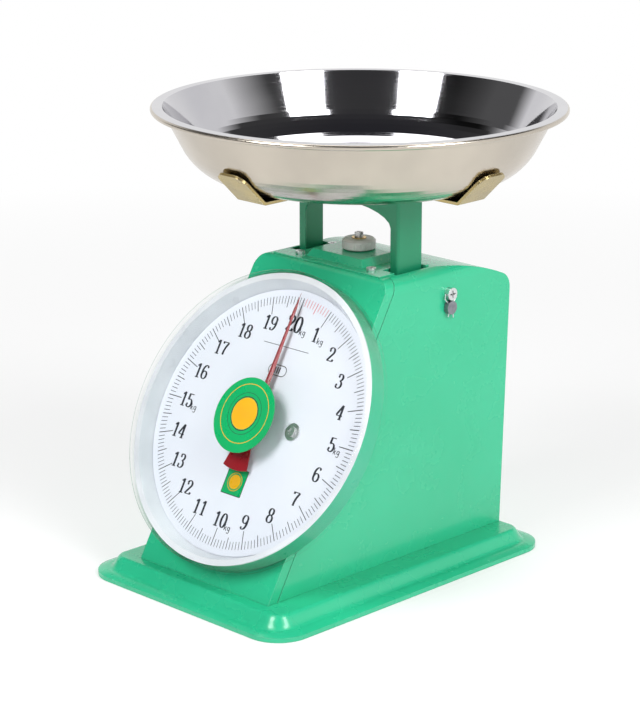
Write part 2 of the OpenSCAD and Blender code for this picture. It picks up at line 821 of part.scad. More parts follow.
module dial_washers() {
    color(steel) on_dial() for (x = [-dial_screw_x, dial_screw_x])
        translate([x, 0, plate_lv + plate_t]) difference() {
            cylinder(r = 6, h = 0.9);
            translate([0, 0, -1]) cylinder(r = 2 + loose, h = 4);
        }
}

module dial_screws() {
    color(steel) on_dial() for (x = [-dial_screw_x, dial_screw_x])
        translate([x, 0, plate_lv + plate_t + 0.9]) screw(3.6, 1.8, 2, 8.5);
}

// Clear cover: a slightly crowned face, a side wall and a bead that clips over the dish
module dial_lens() {
    r = lens_d / 2;
    wall = 1.4;
    face_t = 1.6;
    bend = 2;
    crown_sphere = (r * r + lens_crown * lens_crown) / 2 / lens_crown;
    function crown_at(x) = lens_front + lens_crown - crown_sphere + sqrt(crown_sphere * crown_sphere - x * x);
    color("aliceblue", 0.35) on_dial() rotate_extrude($fn = 180) polygon(concat(
        [for (i = [0:12]) let (x = (r - bend) * i / 12) [x, crown_at(x)]],
        arc([r - bend, crown_at(r - bend) - bend], bend, 75, 0, 5),
        [[r, lens_rear + 1.2], [r + 1.2, lens_rear + 1.2], [r + 1.2, lens_rear],
         [r - wall, lens_rear], [r - wall, lens_front - face_t - 0.6]],
        [for (i = [11:-1:0]) let (x = (r - bend) * i / 12) [x, crown_at(x) - face_t]]
    ));
}

module lens_sticker() {
    color(green) on_dial() translate([0, 0, lens_front + lens_crown + 0.03])
        cylinder(r = 26, h = 0.3, $fn = 96);
}

// ---------- pointer ----------

needle_t = 0.8;
needle_tip = 90;
tail_r = 36;

module pointer() {
    boss_r = 9;
    neck_a = 68;      // where the needle leaves the round boss
    root_a = -58;     // where the tail leaves it
    color(red) on_dial() difference() {
        translate([0, 0, needle_lv]) linear_extrude(needle_t) polygon(concat(
            [[0.4, needle_tip]],
            arc([0, 0], boss_r, neck_a, root_a, 10),
            arc([0, 0], tail_r, 288, 252, 8),
            arc([0, 0], boss_r, 180 - root_a, 180 - neck_a, 10),
            [[-0.4, needle_tip]]
        ));
        translate([0, 0, needle_lv - 1]) cylinder(r = 3 + fit, h = 4);
    }
}

module pointer_hub() {
    color(brass) on_dial() translate([0, 0, needle_lv]) difference() {
        union() {
            translate([0, 0, -2]) cylinder(r = 4.4, h = 2);
            translate([0, 0, -1]) cylinder(r = 3, h = 2.6);
            translate([0, 0, needle_t + 0.05]) cylinder(r = 4.2, h = 0.9);
        }
        translate([0, 0, -3]) cylinder(r = arbor_r + 0.02, h = 1.7);
    }
}

// ---------- levers ----------

// A cross tube on the shaft with an arm at each end; the arm's front hole is loose on the frame's stud
module lever(shaft_z) {
    stud_hole_r = stud_r + 0.9;
    color("lightgray") translate([0, shaft_y, shaft_z]) rotate([-lever_a, 0, 0]) difference() {
        union() {
            bar_x(4.5, -lever_x - lever_t, lever_x + lever_t, 0, 0);
            for (s = [-1, 1]) translate([s > 0 ? lever_x : -lever_x - lever_t, 0, 0]) {
                translate([0, -lever_len, -5]) cube([lever_t, lever_len, 10]);
                bar_x(6, 0, lever_t, -lever_len, 0);
            }
        }
        bar_x(shaft_r + fit, -far, far, 0, 0);
        bar_x(stud_hole_r, -far, far, -lever_len, 0);
    }
}

module upper_lever() { lever(upper_shaft_z); }
module lower_lever() { lever(lower_shaft_z); }

// Headed studs riveted into the uprights, one for each lever arm
module lever_studs() {
    half = frame_w / 2;
    color(steel) for (z = [upper_stud_z, lower_stud_z], s = [-1, 1])
        translate([s * half, load_y, z]) rotate([0, s * 90, 0]) {
            translate([0, 0, -frame_t - stud_head_h]) cylinder(r = stud_head_r, h = stud_head_h);
            translate([0, 0, -frame_t - 0.1]) cylinder(r = stud_r, h = 7);
            cylinder(r = stud_head_r, h = 1.2);
            translate([0, 0, lever_x + lever_t - half + 0.6]) cylinder(r = 4.6, h = 1.2);
        }
}

// ---------- spider and pan ----------

arm_w = 25;
arm_reach = 99.5;
arm_tip_len = 29;
arm_tip_a = 44;

function spider_screw_places() = [for (x = [-36, 36], y = [load_y - 6, load_y + 6]) [x, y]];

// A strip right across the pan with both ends turned up and their corners rounded
module spider_strip() {
    end_r = 8;
    bend = [arm_reach, arm_sheet];
    along = arm_tip_len * [cos(arm_tip_a), sin(arm_tip_a)];
    under = arm_sheet * [sin(arm_tip_a), -cos(arm_tip_a)];
    half = concat(
        arc(bend, arm_sheet, 270, 270 + arm_tip_a, 5),
        [bend + under + along, bend + along, bend]
    );
    last = len(half) - 1;
    difference() {
        translate([0, arm_w / 2, 0]) rotate([90, 0, 0]) linear_extrude(arm_w)
            polygon(concat(half, [for (i = [last:-1:0]) [-half[i][0], half[i][1]]]));
        for (a = [0, 180]) rotate([0, 0, a])
            translate([arm_reach, 0, arm_sheet]) rotate([0, -arm_tip_a, 0]) translate([arm_tip_len, 0, 0])
                for (s = [-1, 1]) translate([0, s * arm_w / 2, -far / 2])
                    linear_extrude(far) polygon(concat([[1, s], [-end_r, s]],
                        arc([-end_r, -s * end_r], end_r, s * 84, s * 6, 6), [[1, -s * end_r]]));
    }
}

module pan_spider() {
    color(zinc) difference() {
        translate([0, load_y, frame_top]) {
            spider_strip();
            rotate([0, 0, 90]) spider_strip();
        }
        for (p = spider_screw_places()) translate([p[0], p[1], frame_top - 1]) {
            cylinder(r = 2 + loose, h = 5);
            translate([0, 0, 1.6]) cylinder(r = 4.2, h = 5);
        }
    }
}

module spider_screws() {
    color(steel) for (p = spider_screw_places())
        translate([p[0], p[1], frame_top + 0.6]) screw(4, 1.3, 2, 5);
}

// Section of the pan, g inside its outer skin: flat floor, round turn, sloping wall
floor_r = 82;
turn_r = 42;
wall_a = 27;
function pan_section(g) = arc([floor_r, pan_floor + turn_r], turn_r - g, 270, 360 - wall_a, 12);

module pan() {
    lip_r = pan_d / 2;
    bead_r = 1.8;
    bead_c = [lip_r - bead_r, pan_rim - bead_r];
    lip_low = pan_rim - pan_t;
    corner = pan_section(0)[12];
    in_corner = pan_section(pan_t)[12];
    color("gainsboro") translate([0, load_y, 0]) rotate_extrude($fn = 180) polygon(concat(
        [[0, pan_floor]],
        pan_section(0),
        [[corner[0] + (lip_low - corner[1]) * tan(wall_a), lip_low]],
        arc(bead_c, bead_r, 180 - asin((lip_low - bead_c[1]) / bead_r), 450, 16),
        [[in_corner[0] + (pan_rim - in_corner[1]) * tan(wall_a), pan_rim]],
        [for (i = [12:-1:0]) pan_section(pan_t)[i]],
        [[0, pan_floor + pan_t]]
    ));
}

base_pan();
front_panel();
body_cover();
top_plate();
top_plate_screws();
chassis_frame();
chassis_screws();
cover_screws();
seal_screw();
seal_wire();
seal_slug();
dial_dish();
dial_plate();
dial_washers();
dial_screws();
dial_lens();
lens_sticker();
movement_bracket();
movement_screws();
front_bush();
rear_bush();
rack_guide();
spring_left();
spring_right();
upper_lever_shaft();
lower_lever_shaft();
shaft_clips();
stop_buffers();
zero_knob();
knob_insert();
hanger_stud();
hanger_bar();
load_frame();
yoke_bar();
yoke_rivets();
rack_arm();
rack_arm_screws();
lever_studs();
pan_spider();
spider_screws();
pan();
rack();
rack_pin();
arbor();
pinion();
pointer_hub();
pointer();
upper_lever();
lower_lever();
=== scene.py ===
"""Looks for the counter-top dial scale: finishes, dial print, pointer, springs and a plain studio."""

import json
import math

import bpy
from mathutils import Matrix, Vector


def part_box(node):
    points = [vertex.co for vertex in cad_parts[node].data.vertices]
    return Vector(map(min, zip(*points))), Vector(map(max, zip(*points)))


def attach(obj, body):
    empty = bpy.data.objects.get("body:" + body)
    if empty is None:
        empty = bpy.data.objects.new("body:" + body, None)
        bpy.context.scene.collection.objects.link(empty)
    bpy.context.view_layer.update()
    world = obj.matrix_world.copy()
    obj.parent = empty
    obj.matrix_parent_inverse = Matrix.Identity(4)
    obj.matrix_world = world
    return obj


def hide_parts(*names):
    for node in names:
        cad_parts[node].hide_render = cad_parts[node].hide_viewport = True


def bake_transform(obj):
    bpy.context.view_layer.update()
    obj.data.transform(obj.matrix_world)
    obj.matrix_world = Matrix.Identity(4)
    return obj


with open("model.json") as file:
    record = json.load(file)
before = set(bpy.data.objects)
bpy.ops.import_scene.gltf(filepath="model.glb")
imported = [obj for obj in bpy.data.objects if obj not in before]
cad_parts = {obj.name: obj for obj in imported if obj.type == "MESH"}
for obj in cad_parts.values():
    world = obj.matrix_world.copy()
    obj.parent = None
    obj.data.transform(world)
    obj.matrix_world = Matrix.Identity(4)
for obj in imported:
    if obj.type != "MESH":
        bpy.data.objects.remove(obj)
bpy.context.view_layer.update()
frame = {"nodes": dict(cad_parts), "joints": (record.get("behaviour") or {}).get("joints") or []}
MM = 0.001

# ---------------------------------------------------------------- places taken from the frame

JOINTS = {j["name"]: j for j in frame["joints"]}
DIAL_CENTRE = Vector(JOINTS["pointer_spin"]["pos_m"])
DIAL_OUT = -Vector(JOINTS["pointer_spin"]["axis"]).normalized()
DIAL_RIGHT = Vector((1, 0, 0))
DIAL_UP = DIAL_OUT.cross(DIAL_RIGHT)


def level_of(node, top=True):
    """Height of a node's front (or back) above the sloping panel, in metres, for a flat disc on the dial."""
    levels = [(v.co - DIAL_CENTRE).dot(DIAL_OUT) for v in frame["nodes"][node].data.vertices]
    return max(levels) if top else min(levels)


def on_dial(x, up, level):
    """A point given across, up and out of the dial face, in metres."""
    return DIAL_CENTRE + DIAL_RIGHT * x + DIAL_UP * up + DIAL_OUT * level


PLATE_LEVEL = level_of("dial_plate")
STICKER_LEVEL = level_of("lens_sticker")
PLATE_R = (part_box("dial_plate")[1].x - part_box("dial_plate")[0].x) / 2
PAN_LOW, PAN_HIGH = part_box("pan")
PAN_AXIS = Vector(((PAN_LOW.x + PAN_HIGH.x) / 2, (PAN_LOW.y + PAN_HIGH.y) / 2, PAN_LOW.z))
FOOT_LOW, FOOT_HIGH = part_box("base_pan")
FOOT_MIDDLE_Y = (FOOT_LOW.y + FOOT_HIGH.y) / 2

# ---------------------------------------------------------------- small node-material kit


class Finish:
    """A material built from nodes, with a Principled shader at its end."""

    def __init__(self, name, roughness=0.4, metallic=0.0):
        self.mat = bpy.data.materials.new(name)
        self.mat.use_nodes = True
        self.tree = self.mat.node_tree
        self.tree.nodes.clear()
        self.bsdf = self.add("ShaderNodeBsdfPrincipled")
        self.out = self.add("ShaderNodeOutputMaterial")
        self.join(self.bsdf.outputs["BSDF"], self.out.inputs["Surface"])
        self.bsdf.inputs["Roughness"].default_value = roughness
        self.bsdf.inputs["Metallic"].default_value = metallic
        self.place = self.add("ShaderNodeTexCoord").outputs["Object"]

    def add(self, kind, **settings):
        node = self.tree.nodes.new(kind)
        for key, value in settings.items():
            setattr(node, key, value)
        return node

    def join(self, source, target):
        self.tree.links.new(source, target)

    def feed(self, target, value):
        """Links a socket, or sets a plain value."""
        if hasattr(value, "is_output"):
            self.join(value, target)
        else:
            target.default_value = value

    def math(self, how, a, b=0.0):
        node = self.add("ShaderNodeMath", operation=how)
        self.feed(node.inputs[0], a)
        self.feed(node.inputs[1], b)
        return node.outputs[0]

    def stretch(self, scale):
        """Object coordinates scaled by (x, y, z)."""
        node = self.add("ShaderNodeMapping")
        self.join(self.place, node.inputs["Vector"])
        node.inputs["Scale"].default_value = scale
        return node.outputs["Vector"]

    def noise(self, scale, detail=2.0, vector=None, roughness=0.5):
        node = self.add("ShaderNodeTexNoise")
        self.join(vector or self.place, node.inputs["Vector"])
        node.inputs["Scale"].default_value = scale
        node.inputs["Detail"].default_value = detail
        node.inputs["Roughness"].default_value = roughness
        return node.outputs["Fac"]

    def spread(self, value, low, high, new_low=0.0, new_high=1.0):
        node = self.add("ShaderNodeMapRange", clamp=True)
        for index, v in enumerate((value, low, high, new_low, new_high)):
            self.feed(node.inputs[index], v)
        return node.outputs[0]

    def mix(self, fac, a, b):
        node = self.add("ShaderNodeMix", data_type="RGBA")
        self.feed(node.inputs["Factor"], fac)
        self.feed(node.inputs[6], a)
        self.feed(node.inputs[7], b)
        return node.outputs[2]

    def colour(self, value):
        self.feed(self.bsdf.inputs["Base Color"], value)

    def rough(self, value):
        self.feed(self.bsdf.inputs["Roughness"], value)

    def edges(self, radius):
        """1 on the part's edges, 0 on its flats."""
        soft = self.add("ShaderNodeBevel", samples=4)
        soft.inputs["Radius"].default_value = radius
        true = self.add("ShaderNodeNewGeometry")
        dot = self.add("ShaderNodeVectorMath", operation="DOT_PRODUCT")
        self.join(soft.outputs["Normal"], dot.inputs[0])
        self.join(true.outputs["Normal"], dot.inputs[1])
        return self.spread(dot.outputs["Value"], 0.99, 0.80)

    def surface(self, height=None, strength=0.2, depth=0.0002, edge_radius=None):
        """Bump from a height, on normals that are rounded at the edges."""
        normal = None
        if edge_radius:
            soft = self.add("ShaderNodeBevel", samples=4)
            soft.inputs["Radius"].default_value = edge_radius
            normal = soft.outputs["Normal"]
        if height is not None:
            bump = self.add("ShaderNodeBump")
            bump.inputs["Strength"].default_value = strength
            bump.inputs["Distance"].default_value = depth
            self.join(height, bump.inputs["Height"])
            if normal:
                self.join(normal, bump.inputs["Normal"])
            normal = bump.outputs["Normal"]
        self.join(normal, self.bsdf.inputs["Normal"])


def srgb(r, g, b):
    """A colour given as 0-255 screen values."""
    def linear(v):
        v /= 255
        return v / 12.92 if v <= 0.04045 else ((v + 0.055) / 1.055) ** 2.4
    return (linear(r), linear(g), linear(b), 1.0)


# ---------------------------------------------------------------- finishes


def enamel(name, base, pale, roughness=0.26, edge_highlight_and_wear=0.25, coat=0.3):
    """Stoved gloss paint: slight orange peel, faintly uneven colour and gloss, paler at the edges: partly
    paint worn thin, partly a painted highlight.
    """
    f = Finish(name)
    cloud = f.spread(f.noise(14, 3), 0.3, 0.7)
    # pale edges: partly paint worn thin, partly a painted highlight along the panel edges
    thin = f.math("MULTIPLY", f.edges(0.0007), f.spread(f.noise(70, 3), 0.3, 0.7, 0.3, 1.0))
    f.colour(f.mix(f.math("MULTIPLY", thin, edge_highlight_and_wear), f.mix(cloud, base, pale), srgb(190, 240, 222)))
    f.rough(f.spread(f.noise(40, 4), 0.25, 0.8, roughness - 0.05, roughness + 0.07))
    f.surface(f.noise(420, 2), 0.08, 0.0002, 0.0007)
    f.bsdf.inputs["Coat Weight"].default_value = coat
    f.bsdf.inputs["Coat Roughness"].default_value = 0.06
    return f.mat


def printed_white(name, base, shade):
    """Flat white enamel with a faint mottled tint."""
    f = Finish(name)
    f.colour(f.mix(f.spread(f.noise(18, 3), 0.3, 0.7), base, shade))
    f.rough(f.spread(f.noise(60, 3), 0.3, 0.7, 0.52, 0.66))
    f.bsdf.inputs["Specular IOR Level"].default_value = 0.25
    f.surface(f.noise(900, 2), 0.04, 0.0001, 0.0004)
    return f.mat


def plated(name, base, tint, roughness=0.32, grain=(1, 1, 1), grain_scale=300, streak=0.08):
    """Zinc- or nickel-plated steel: grain, cloudy tint, uneven gloss and brighter edges."""
    f = Finish(name, metallic=1.0)
    cloud = f.spread(f.noise(45, 4), 0.3, 0.72)
    edge = f.edges(0.0005)
    body = f.mix(cloud, base, tint)
    f.colour(f.mix(f.math("MULTIPLY", edge, 0.35), body, (0.86, 0.85, 0.82, 1)))
    lines = f.noise(grain_scale, 3, f.stretch(grain))
    f.rough(f.spread(lines, 0.25, 0.75, roughness - streak, roughness + streak))
    f.surface(lines, 0.12, 0.00008, 0.0004)
    return f.mat


def plain(name, base, tint, roughness, scale=120, bump=0.1, metallic=0.0):
    """Moulded plastic, rubber or lead: mottled colour, soft gloss, fine texture."""
    f = Finish(name, metallic=metallic)
    f.colour(f.mix(f.spread(f.noise(scale, 3), 0.3, 0.7), base, tint))
    f.rough(f.spread(f.noise(scale * 2, 3), 0.3, 0.7, roughness - 0.08, roughness + 0.1))
    f.surface(f.noise(scale * 7, 2), bump, 0.0001, 0.0003)
    return f.mat


def stainless_pan():
    """Spun stainless: near-mirror inside with rings from spinning, brushed outside up the wall."""
    f = Finish("stainless_pan", metallic=1.0)
    split = f.add("ShaderNodeSeparateXYZ")
    move = f.add("ShaderNodeMapping")
    f.join(f.place, move.inputs["Vector"])
    move.inputs["Location"].default_value = (-PAN_AXIS.x, -PAN_AXIS.y, -PAN_AXIS.z)
    f.join(move.outputs["Vector"], split.inputs["Vector"])
    x, y, z = split.outputs
    radius = f.math("SQRT", f.math("ADD", f.math("MULTIPLY", x, x), f.math("MULTIPLY", y, y)))
    angle = f.math("ARCTAN2", y, x)
    # radial direction against the surface's own direction tells outside from inside
    geometry = f.add("ShaderNodeNewGeometry")
    turn = f.add("ShaderNodeVectorMath", operation="DOT_PRODUCT")
    flat = f.add("ShaderNodeCombineXYZ")
    f.feed(flat.inputs[0], x)
    f.feed(flat.inputs[1], y)
    f.feed(flat.inputs[2], -0.05)
    f.join(flat.outputs[0], turn.inputs[0])
    f.join(geometry.outputs["Normal"], turn.inputs[1])
    outside = f.spread(turn.outputs["Value"], -0.002, 0.002)
    # rings left by spinning, and scratches that run up the wall
    rings = f.add("ShaderNodeTexNoise", noise_dimensions="1D")
    f.join(f.math("MULTIPLY", f.math("ADD", radius, f.math("MULTIPLY", z, 0.6)), 900.0), rings.inputs["W"])
    rings.inputs["Scale"].default_value = 1.0
    rings.inputs["Detail"].default_value = 3.0
    around = f.add("ShaderNodeCombineXYZ")
    f.feed(around.inputs[0], f.math("MULTIPLY", angle, 170.0))
    f.feed(around.inputs[1], f.math("MULTIPLY", z, 25.0))
    scratch = f.noise(1.0, 4, around.outputs[0], 0.7)
    smear = f.noise(16, 3)
    inner_rough = f.spread(rings.outputs["Fac"], 0.3, 0.7, 0.035, 0.085)
    outer_rough = f.spread(scratch, 0.3, 0.7, 0.15, 0.25)
    rough_mix = f.add("ShaderNodeMix", data_type="FLOAT")
    f.feed(rough_mix.inputs["Factor"], outside)
    f.feed(rough_mix.inputs[2], inner_rough)
    f.feed(rough_mix.inputs[3], outer_rough)
    f.rough(rough_mix.outputs[0])
    outer = f.mix(f.spread(smear, 0.3, 0.7), srgb(206, 197, 184), srgb(188, 180, 168))
    inner = f.mix(f.spread(smear, 0.3, 0.7), srgb(204, 203, 206), srgb(192, 191, 196))
    f.colour(f.mix(outside, inner, outer))
    outer_height = f.math("MULTIPLY", scratch, outside)
    ring_height = f.math("MULTIPLY", rings.outputs["Fac"], 0.15)
    height = f.math("ADD", outer_height, ring_height)
    f.surface(height, 0.07, 0.00006)
    f.bsdf.inputs["Anisotropic"].default_value = 0.3
    return f.mat


def dish_paint(white, green):
    """White inside and on the lip, body green on the back and the skirt."""
    f = Finish("dish_paint")
    geometry = f.add("ShaderNodeNewGeometry")
    out_dot = f.add("ShaderNodeVectorMath", operation="DOT_PRODUCT")
    f.join(geometry.outputs["Normal"], out_dot.inputs[0])
    out_dot.inputs[1].default_value = DIAL_OUT
    away = f.add("ShaderNodeVectorMath", operation="SUBTRACT")
    f.join(f.place, away.inputs[0])
    away.inputs[1].default_value = DIAL_CENTRE
    side_dot = f.add("ShaderNodeVectorMath", operation="DOT_PRODUCT")
    f.join(away.outputs["Vector"], side_dot.inputs[0])
    f.join(geometry.outputs["Normal"], side_dot.inputs[1])
    outward = f.math("MULTIPLY", side_dot.outputs["Value"], 1 / PLATE_R)
    behind = f.math("MULTIPLY", out_dot.outputs["Value"], -2.0)
    back = f.spread(f.math("ADD", outward, behind), 0.2, 0.6)
    tint = f.spread(f.noise(18, 3), 0.3, 0.7)
    white_part = f.mix(tint, white, srgb(214, 216, 222))
    green_part = f.mix(tint, green, srgb(70, 180, 145))
    f.colour(f.mix(back, white_part, green_part))
    f.rough(f.spread(f.noise(60, 3), 0.3, 0.7, 0.25, 0.42))
    f.surface(f.noise(700, 2), 0.05, 0.0001, 0.0004)
    return f.mat


def clear_plastic():
    """Thin clear styrene: see-through face on, pale grey-green and shiny at a slant, finely scratched."""
    f = Finish("clear_plastic")
    through = f.add("ShaderNodeBsdfTransparent")
    shine = f.add("ShaderNodeBsdfGlossy")
    haze = f.add("ShaderNodeBsdfDiffuse")
    shine.inputs["Roughness"].default_value = 0.05
    facing = f.add("ShaderNodeLayerWeight")
    facing.inputs["Blend"].default_value = 0.5
    slant = facing.outputs["Facing"]
    face_on, edge_on = (0.99, 0.995, 0.995, 1), srgb(190, 212, 200)
    f.feed(through.inputs["Color"], f.mix(f.spread(slant, 0.45, 1.0), face_on, edge_on))
    haze.inputs["Color"].default_value = srgb(150, 190, 172)
    dust = f.spread(f.noise(30, 3), 0.5, 0.9, 0.0, 0.005)
    body = f.add("ShaderNodeMixShader")
    f.feed(body.inputs[0], f.math("ADD", f.spread(slant, 0.4, 1.0, 0.0, 0.30), dust))
    f.join(through.outputs[0], body.inputs[1])
    f.join(haze.outputs[0], body.inputs[2])
    hair = f.noise(500, 4, f.stretch((1.0, 0.15, 0.15)))
    bump = f.add("ShaderNodeBump")
    bump.inputs["Strength"].default_value = 0.04
    bump.inputs["Distance"].default_value = 0.00005
    f.join(hair, bump.inputs["Height"])
    f.join(bump.outputs["Normal"], shine.inputs["Normal"])
    mirror = f.math("ADD", f.math("MULTIPLY", f.math("POWER", slant, 5.0), 0.6), 0.007)
    whole = f.add("ShaderNodeMixShader")
    f.feed(whole.inputs[0], mirror)
    f.join(body.outputs[0], whole.inputs[1])
    f.join(shine.outputs[0], whole.inputs[2])
    f.tree.nodes.remove(f.bsdf)
    f.join(whole.outputs[0], f.out.inputs["Surface"])
    return f.mat


GREEN = srgb(36, 177, 130)
GREEN_PALE = srgb(42, 182, 136)
WHITE = srgb(244, 245, 250)

MATS = {
    "green_enamel": enamel("green_enamel", GREEN, GREEN_PALE),
    # the load frame gets the body green made darker: painted shade on the uprights and cross arm
    "frame_green_painted_shade": enamel("frame_green_painted_shade", srgb(18, 136, 94), srgb(24, 142, 101), 0.34, 0.15, 0.05),
    "white_enamel": printed_white("white_enamel", srgb(231, 233, 242), srgb(226, 229, 239)),
    "dish_paint": dish_paint(WHITE, GREEN),
    "steel_bright": plated("steel_bright", srgb(226, 228, 228), srgb(208, 210, 212), 0.34, streak=0.05),
    "red_paint": plain("red_paint", srgb(158, 12, 28), srgb(138, 8, 24), 0.30, 60, 0.05),
    "zinc_gold": plated("zinc_gold", srgb(196, 176, 118), srgb(172, 158, 122), 0.24, (0.2, 1, 1), 400, 0.07),
    "zinc_steel": plated("zinc_steel", srgb(190, 190, 188), srgb(168, 170, 172), 0.30),
    "spring_steel": plated("spring_steel", srgb(118, 120, 124), srgb(92, 94, 98), 0.30),
    "stainless": stainless_pan(),
    "knob_plastic": plain("knob_plastic", srgb(214, 212, 210), srgb(202, 200, 198), 0.42, 90, 0.12),
    "brass": plated("brass", srgb(214, 178, 104), srgb(190, 156, 88), 0.26),
    "lead": plain("lead", srgb(150, 152, 158), srgb(120, 122, 130), 0.45, 200, 0.35, metallic=0.8),
    "clear_plastic": clear_plastic(),
    "sticker_green": plain("sticker_green", srgb(10, 170, 98), srgb(8, 160, 90), 0.30, 40, 0.04),
    "sticker_yellow": plain("sticker_yellow", srgb(232, 176, 30), srgb(226, 166, 26), 0.34, 60, 0.04),
    "ink_dark": plain("ink_dark", srgb(24, 26, 38), srgb(34, 37, 50), 0.68, 150, 0.05),
    "ink_red": plain("ink_red", srgb(222, 84, 96), srgb(210, 70, 84), 0.5, 150, 0.05),
    "nylon": plain("nylon", srgb(232, 228, 212), srgb(222, 216, 198), 0.45),
    "rubber": plain("rubber", srgb(36, 36, 38), srgb(26, 26, 28), 0.75, 160, 0.4),
}

NODE_FINISH = {
    "green_enamel": ["base_pan", "front_panel", "body_cover", "top_plate"],
    "frame_green_painted_shade": ["load_frame"],
    "white_enamel": ["dial_plate"],
    "dish_paint": ["dial_dish"],
    "zinc_gold": ["pan_spider"],
    "stainless": ["pan"],
    "knob_plastic": ["zero_knob"],
    "brass": ["knob_insert", "front_bush", "rear_bush", "rack", "pinion", "pointer_hub"],
    "lead": ["seal_slug"],
    "clear_plastic": ["dial_lens"],
    "sticker_green": ["lens_sticker"],
    "steel_bright": ["dial_washers", "dial_screws", "seal_screw", "seal_wire", "top_plate_screws"],
    "red_paint": ["pointer"],
    "nylon": ["rack_guide"],
    "rubber": ["stop_buffers"],
    "spring_steel": ["spring_left", "spring_right", "shaft_clips"],
}


def finish_cad_nodes():
    """Every node gets its finish; whatever isn't listed is plated steel."""
    finish_of = {node: name for name, nodes in NODE_FINISH.items() for node in nodes}
    for node, obj in frame["nodes"].items():
        obj.data.materials.clear()
        obj.data.materials.append(MATS[finish_of.get(node, "zinc_steel")])


# ---------------------------------------------------------------- flat print on the dial


class Print:
    """Collects flat shapes that lie on the dial and makes one mesh of them. Sizes in mm on the dial face."""

    def __init__(self, name, level, material, slot):
        self.name, self.level, self.material, self.slot = name, level, material, slot
        self.verts, self.faces = [], []
        self.layer = 0

    def shape(self, points):
        """A filled outline. Each shape lies a hair above the last, so shapes may overlap."""
        self.layer = (self.layer + 1) % 7
        first = len(self.verts)
        level = self.level + self.layer * 0.002 * MM
        self.verts += [on_dial(x * MM, y * MM, level) for x, y in points]
        self.faces.append(list(range(first, first + len(points))))

    def stroke(self, path, width_at):
        """A line along a path; width_at(direction) gives its width."""
        left, right = [], []
        for i, (x, y) in enumerate(path):
            x0, y0 = path[max(i - 1, 0)]
            x1, y1 = path[min(i + 1, len(path) - 1)]
            length = math.hypot(x1 - x0, y1 - y0)
            dx, dy = (x1 - x0) / length, (y1 - y0) / length
            half = width_at((dx, dy)) / 2
            left.append((x - dy * half, y + dx * half))
            right.append((x + dy * half, y - dx * half))
        for i in range(len(path) - 1):
            self.shape([left[i], right[i], right[i + 1], left[i + 1]])

    def bar(self, a, b, width):
        self.stroke([a, b], lambda d: width)

    def disc(self, centre, radius, sides=20):
        cx, cy = centre
        angles = [2 * math.pi * i / sides for i in range(sides)]
        self.shape([(cx + radius * math.cos(a), cy + radius * math.sin(a)) for a in angles])

    def ring(self, centre, radius, width, sides=64):
        cx, cy = centre
        path = [(cx + radius * math.cos(2 * math.pi * i / sides),
                 cy + radius * math.sin(2 * math.pi * i / sides)) for i in range(sides + 1)]
        self.stroke(path, lambda d: width)

    def build(self):
        mesh = bpy.data.meshes.new(self.name)
        mesh.from_pydata(self.verts, [], self.faces)
        mesh.materials.append(MATS[self.material])
        obj = bpy.data.objects.new(self.name, mesh)
        bpy.context.scene.collection.objects.link(obj)
        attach(obj, "housing")
        return obj


def oval(cx, cy, rx, ry, start, end, steps=20):
    """Points on an ellipse between two angles in degrees."""
    angles = [math.radians(start + (end - start) * i / steps) for i in range(steps + 1)]
    return [(cx + rx * math.cos(a), cy + ry * math.sin(a)) for a in angles]


# Each glyph is drawn in a box 0.5 wide and 1 high: its strokes, and the dots at stroke ends.
GLYPHS = {
    "0": ([oval(0.25, 0.5, 0.19, 0.47, 0, 360, 32)], []),
    "1": ([[(0.27, 0.99), (0.27, 0.03)], [(0.10, 0.80), (0.27, 0.97)], [(0.12, 0.02), (0.42, 0.02)]], []),
    "2": ([oval(0.24, 0.74, 0.18, 0.23, 165, -35, 18) + [(0.06, 0.06)],
           [(0.05, 0.06), (0.44, 0.06)], [(0.44, 0.05), (0.47, 0.20)]], [(0.10, 0.74)]),
    "3": ([oval(0.23, 0.75, 0.17, 0.22, 150, -90, 18), oval(0.22, 0.27, 0.20, 0.25, 90, -155, 18)],
          [(0.11, 0.80), (0.08, 0.22)]),
    "4": ([[(0.33, 0.98), (0.03, 0.29)], [(0.02, 0.27), (0.48, 0.27)], [(0.34, 0.98), (0.34, 0.03)],
           [(0.22, 0.02), (0.46, 0.02)]], []),
    "5": ([[(0.11, 0.94), (0.42, 0.94)], [(0.11, 0.96), (0.10, 0.52)],
           oval(0.22, 0.30, 0.20, 0.28, 125, -155, 20)], [(0.09, 0.22)]),
    "6": ([oval(0.30, 0.50, 0.24, 0.47, 62, 190, 16), oval(0.25, 0.29, 0.19, 0.27, 0, 360, 26)],
          [(0.40, 0.88)]),
    "7": ([[(0.05, 0.93), (0.46, 0.93)], [(0.06, 0.96), (0.05, 0.80)],
           [(0.45, 0.93), (0.30, 0.60), (0.23, 0.30), (0.22, 0.03)]], []),
    "8": ([oval(0.25, 0.75, 0.16, 0.22, 0, 360, 24), oval(0.25, 0.27, 0.19, 0.25, 0, 360, 26)], []),
    "9": ([oval(0.20, 0.50, 0.24, 0.47, 242, 370, 16), oval(0.25, 0.71, 0.19, 0.27, 0, 360, 26)],
          [(0.10, 0.12)]),
    "k": ([[(0.08, 0.98), (0.08, 0.02)], [(0.10, 0.28), (0.40, 0.62)], [(0.18, 0.38), (0.44, 0.02)]], []),
    "g": ([oval(0.24, 0.40, 0.17, 0.24, 0, 360, 20), [(0.42, 0.64), (0.42, -0.10)],
           oval(0.25, -0.10, 0.17, 0.18, 0, -160, 10)], []),
}


def write(sheet, text, x, y, height, thick=0.18, thin=0.065, pitch=0.63, wide=1.18):
    """Puts a word centred on (x, y): strokes are thick where they run up and down and thin across."""
    left = x - pitch * height * len(text) / 2
    for letter in text:
        strokes, dots = GLYPHS[letter]
        for path in strokes:
            placed = [(left + px * height * wide, y + (py - 0.5) * height) for px, py in path]
            sheet.stroke(placed, lambda d: height * (thin + (thick - thin) * abs(d[1]) ** 1.5))
        for px, py in dots:
            sheet.disc((left + px * height * wide, y + (py - 0.5) * height), height * 0.085, 12)
        left += pitch * height


